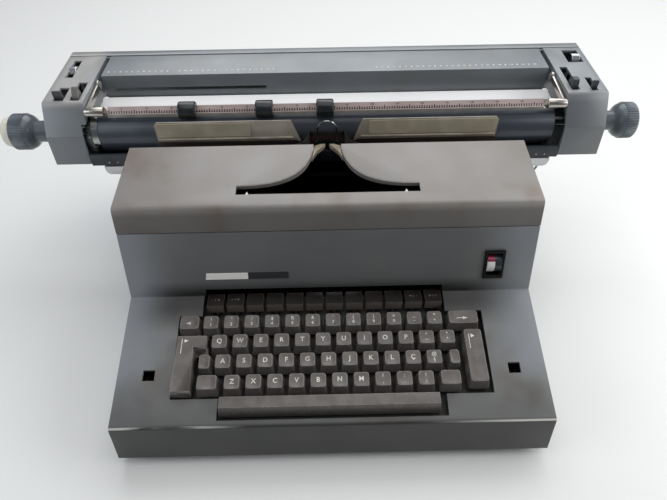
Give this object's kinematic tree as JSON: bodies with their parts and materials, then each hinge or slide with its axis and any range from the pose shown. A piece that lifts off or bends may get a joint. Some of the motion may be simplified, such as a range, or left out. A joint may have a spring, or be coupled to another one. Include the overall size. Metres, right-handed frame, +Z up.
{
  "type": "electric typewriter",
  "caption": "Electric office typewriter: enamelled wedge body with keyboard, open typebar basket, and a long sliding carriage with platen, paper bail, end covers and knobs.",
  "frame": {"origin": "on the table, on the body's mid-plane, at mid-depth of the body", "axes": "+Z up, front (keyboard) towards -Y, +X to the operator's right, along the carriage's travel"},
  "size_m": [0.6836, 0.3972, 0.205],
  "materials": {
    "pan_steel": "black stove enamel",
    "frame_steel": "pressed zinc-plated steel",
    "housing_paint": "fine-textured grey enamel",
    "foot_rubber": "moulded black",
    "black_plate": "black lacquer",
    "black_plastic": "moulded black",
    "motor_steel": "grey lacquer",
    "belt_rubber": "ribbed belt",
    "roller_rubber": "black, semi-matt",
    "segment_iron": "machined and oiled",
    "typebar_steel": "oiled steel",
    "guide_brass": "dull, ink-stained",
    "yellowed_acrylic": "yellowed clear sheet",
    "bright_chrome": "polished",
    "spool_plastic": "moulded black",
    "ribbon_fabric": "inked woven ribbon",
    "rail_aluminium": "satin, machined",
    "lead_plastic": "grey sheath",
    "red_plastic": "moulded red and white",
    "cover_paint": "worn grey enamel",
    "key_plastic": "moulded dark brown",
    "tab_key_plastic": "moulded dark brown",
    "carriage_paint": "blue-grey enamel",
    "table_aluminium": "satin anodised",
    "platen_rubber": "ground hard rubber",
    "bright_steel": "turned steel",
    "knob_plastic": "moulded grey, ribbed rim",
    "cream_plastic": "moulded cream",
    "nickel_plate": "nickel plate",
    "lever_plastic": "moulded dark grey"
  },
  "bodies": {
    "chassis": {"base_pan": "pan_steel", "side_frames": "frame_steel", "body_shell": "housing_paint", "rubber_feet": "foot_rubber", "keyboard_plate": "black_plate", "power_inlet": "black_plastic", "drive_motor": "motor_steel", "drive_belt": "belt_rubber", "type_segment": "segment_iron", "typebars": "typebar_steel", "type_guide": "guide_brass", "card_guides": "yellowed_acrylic", "ink_ribbon": "ribbon_fabric", "carriage_rail": "rail_aluminium", "carriage_lead": "lead_plastic", "switch_bezel": "black_plastic"},
    "power_roller": {"power_roller": "roller_rubber"},
    "mainspring_drum": {"mainspring_drum": "frame_steel"},
    "middle_typebar": {"middle_typebar": "typebar_steel"},
    "ribbon_vibrator": {"ribbon_vibrator": "bright_chrome"},
    "ribbon_spool_left": {"ribbon_spool_left": "spool_plastic"},
    "ribbon_spool_right": {"ribbon_spool_right": "spool_plastic"},
    "switch_rocker": {"switch_rocker": "red_plastic"},
    "top_cover": {"top_cover": "cover_paint"},
    "number_keys": {"number_keys": "key_plastic"},
    "upper_letter_keys": {"upper_letter_keys": "key_plastic"},
    "home_letter_keys": {"home_letter_keys": "key_plastic"},
    "middle_letter_key": {"middle_letter_key": "key_plastic"},
    "lower_letter_keys": {"lower_letter_keys": "key_plastic"},
    "tabulator_keys": {"tabulator_keys": "tab_key_plastic"},
    "space_bar": {"space_bar": "key_plastic"},
    "return_key": {"return_key": "key_plastic"},
    "margin_key": {"margin_key": "key_plastic"},
    "backspace_key": {"backspace_key": "key_plastic"},
    "wide_right_key": {"wide_right_key": "key_plastic"},
    "shift_lock_key": {"shift_lock_key": "key_plastic"},
    "narrow_right_key": {"narrow_right_key": "key_plastic"},
    "shift_key_left": {"shift_key_left": "key_plastic"},
    "shift_key_right": {"shift_key_right": "key_plastic"},
    "carriage": {"carriage_frame": "black_plate", "end_cover_left": "carriage_paint", "end_cover_right": "carriage_paint", "rear_cover": "carriage_paint", "paper_table": "table_aluminium", "margin_buttons": "bright_chrome"},
    "paper_lid": {"paper_lid": "carriage_paint"},
    "platen": {"platen": "platen_rubber", "platen_shaft": "bright_steel", "platen_ratchet": "bright_steel", "knob_left": "knob_plastic", "knob_cap": "cream_plastic", "knob_right": "knob_plastic"},
    "feed_rollers": {"feed_rollers": "roller_rubber"},
    "paper_bail": {"bail_arms": "nickel_plate", "bail_bar": "nickel_plate"},
    "bail_rollers": {"bail_rollers": "roller_rubber"},
    "line_space_lever": {"line_space_lever": "lever_plastic"},
    "release_lever_left": {"release_lever_left": "lever_plastic"},
    "paper_release_lever": {"paper_release_lever": "lever_plastic"},
    "release_lever_right": {"release_lever_right": "lever_plastic"}
  },
  "joints": [
    {"name": "carriage_travel", "type": "slide", "parent": "chassis", "child": "carriage", "axis": [1, 0, 0], "range_m": [-0.205, 0.205]},
    {"name": "cover_lift", "type": "slide", "parent": "chassis", "child": "top_cover", "axis": [0, 0, 1], "range_m": [0, 0.03]},
    {"name": "number_key_press", "type": "slide", "parent": "chassis", "child": "number_keys", "axis": [0, 0, -1], "range_m": [0, 0.004], "stiffness_N_per_m": 400, "springref_m": -0.006},
    {"name": "upper_key_press", "type": "slide", "parent": "chassis", "child": "upper_letter_keys", "axis": [0, 0, -1], "range_m": [0, 0.004], "stiffness_N_per_m": 400, "springref_m": -0.006},
    {"name": "home_key_press", "type": "slide", "parent": "chassis", "child": "home_letter_keys", "axis": [0, 0, -1], "range_m": [0, 0.004], "stiffness_N_per_m": 400, "springref_m": -0.006},
    {"name": "middle_key_press", "type": "slide", "parent": "chassis", "child": "middle_letter_key", "axis": [0, 0, -1], "range_m": [0, 0.004], "stiffness_N_per_m": 200, "springref_m": -0.006},
    {"name": "lower_key_press", "type": "slide", "parent": "chassis", "child": "lower_letter_keys", "axis": [0, 0, -1], "range_m": [0, 0.004], "stiffness_N_per_m": 400, "springref_m": -0.006},
    {"name": "tabulator_key_press", "type": "slide", "parent": "chassis", "child": "tabulator_keys", "axis": [0, 0, -1], "range_m": [0, 0.004], "stiffness_N_per_m": 400, "springref_m": -0.006},
    {"name": "space_bar_press", "type": "slide", "parent": "chassis", "child": "space_bar", "axis": [0, 0, -1], "range_m": [0, 0.004], "stiffness_N_per_m": 400, "springref_m": -0.006},
    {"name": "return_key_press", "type": "slide", "parent": "chassis", "child": "return_key", "axis": [0, 0, -1], "range_m": [0, 0.004], "stiffness_N_per_m": 400, "springref_m": -0.006},
    {"name": "margin_key_press", "type": "slide", "parent": "chassis", "child": "margin_key", "axis": [0, 0, -1], "range_m": [0, 0.004], "stiffness_N_per_m": 200, "springref_m": -0.006},
    {"name": "backspace_key_press", "type": "slide", "parent": "chassis", "child": "backspace_key", "axis": [0, 0, -1], "range_m": [0, 0.004], "stiffness_N_per_m": 200, "springref_m": -0.006},
    {"name": "wide_right_key_press", "type": "slide", "parent": "chassis", "child": "wide_right_key", "axis": [0, 0, -1], "range_m": [0, 0.004], "stiffness_N_per_m": 200, "springref_m": -0.006},
    {"name": "shift_lock_press", "type": "slide", "parent": "chassis", "child": "shift_lock_key", "axis": [0, 0, -1], "range_m": [0, 0.004], "stiffness_N_per_m": 200, "springref_m": -0.006},
    {"name": "narrow_right_key_press", "type": "slide", "parent": "chassis", "child": "narrow_right_key", "axis": [0, 0, -1], "range_m": [0, 0.004], "stiffness_N_per_m": 200, "springref_m": -0.006},
    {"name": "shift_left_press", "type": "slide", "parent": "chassis", "child": "shift_key_left", "axis": [0, 0, -1], "range_m": [0, 0.004], "stiffness_N_per_m": 200, "springref_m": -0.006},
    {"name": "shift_right_press", "type": "slide", "parent": "chassis", "child": "shift_key_right", "axis": [0, 0, -1], "range_m": [0, 0.004], "stiffness_N_per_m": 200, "springref_m": -0.006},
    {"name": "typebar_strike", "type": "hinge", "parent": "chassis", "child": "middle_typebar", "pos_m": [0, 0.0303, 0.088], "axis": [-1, 0, 0], "range_deg": [0, 74.91]},
    {"name": "vibrator_lift", "type": "slide", "parent": "chassis", "child": "ribbon_vibrator", "axis": [0, 0, 1], "range_m": [0, 0.007], "stiffness_N_per_m": 60, "springref_m": -0.002, "deforming": ["ink_ribbon"]},
    {"name": "spool_left_turn", "type": "hinge", "parent": "chassis", "child": "ribbon_spool_left", "pos_m": [-0.11, 0.012, 0.146], "axis": [0, 0, 1], "continuous": true},
    {"name": "spool_right_turn", "type": "hinge", "parent": "chassis", "child": "ribbon_spool_right", "pos_m": [0.11, 0.012, 0.146], "axis": [0, 0, 1], "continuous": true},
    {"name": "switch_tilt", "type": "hinge", "parent": "chassis", "child": "switch_rocker", "pos_m": [0.1553, -0.05487, 0.10387], "axis": [1, 0, 0], "range_deg": [-9, 9]},
    {"name": "power_roller_turn", "type": "hinge", "parent": "chassis", "child": "power_roller", "pos_m": [0, -0.02, 0.038], "axis": [1, 0, 0], "continuous": true},
    {"name": "drum_turn", "type": "hinge", "parent": "chassis", "child": "mainspring_drum", "pos_m": [-0.15, 0.11, 0.07], "axis": [1, 0, 0], "range_deg": [-460, 460]},
    {"name": "lid_hinge", "type": "hinge", "parent": "carriage", "child": "paper_lid", "pos_m": [0, 0.1803, 0.1925], "axis": [-1, 0, 0], "range_deg": [0, 70]},
    {"name": "platen_turn", "type": "hinge", "parent": "carriage", "child": "platen", "pos_m": [0, 0.0963, 0.1558], "axis": [1, 0, 0], "continuous": true},
    {"name": "feed_roller_turn", "type": "hinge", "parent": "carriage", "child": "feed_rollers", "pos_m": [0, 0.12412, 0.14835], "axis": [1, 0, 0], "continuous": true},
    {"name": "bail_lift", "type": "hinge", "parent": "carriage", "child": "paper_bail", "pos_m": [0, 0.132, 0.188], "axis": [-1, 0, 0], "range_deg": [0, 50]},
    {"name": "bail_roller_turn", "type": "hinge", "parent": "paper_bail", "child": "bail_rollers", "pos_m": [0, 0.0858, 0.185], "axis": [1, 0, 0], "continuous": true},
    {"name": "line_space_pull", "type": "hinge", "parent": "carriage", "child": "line_space_lever", "pos_m": [0, 0.106, 0.172], "axis": [-1, 0, 0], "range_deg": [-5, 5], "stiffness_Nm_per_rad": 0.4},
    {"name": "release_left_pull", "type": "hinge", "parent": "carriage", "child": "release_lever_left", "pos_m": [0, 0.106, 0.172], "axis": [-1, 0, 0], "range_deg": [-5, 5], "stiffness_Nm_per_rad": 0.4},
    {"name": "paper_release_pull", "type": "hinge", "parent": "carriage", "child": "paper_release_lever", "pos_m": [0, 0.106, 0.172], "axis": [-1, 0, 0], "range_deg": [-5, 5], "stiffness_Nm_per_rad": 0.4},
    {"name": "release_right_pull", "type": "hinge", "parent": "carriage", "child": "release_lever_right", "pos_m": [0, 0.106, 0.172], "axis": [-1, 0, 0], "range_deg": [-5, 5], "stiffness_Nm_per_rad": 0.4}
  ],
  "couplings": [
    {"joint": "typebar_strike", "follows": "middle_key_press", "rad_per_m": 326.51},
    {"joint": "shift_right_press", "follows": "shift_left_press", "ratio": 1},
    {"joint": "feed_roller_turn", "follows": "platen_turn", "ratio": -3.3846},
    {"joint": "bail_roller_turn", "follows": "platen_turn", "ratio": -2.5},
    {"joint": "spool_right_turn", "follows": "spool_left_turn", "ratio": 1},
    {"joint": "drum_turn", "follows": "carriage_travel", "rad_per_m": 38.462}
  ]
}
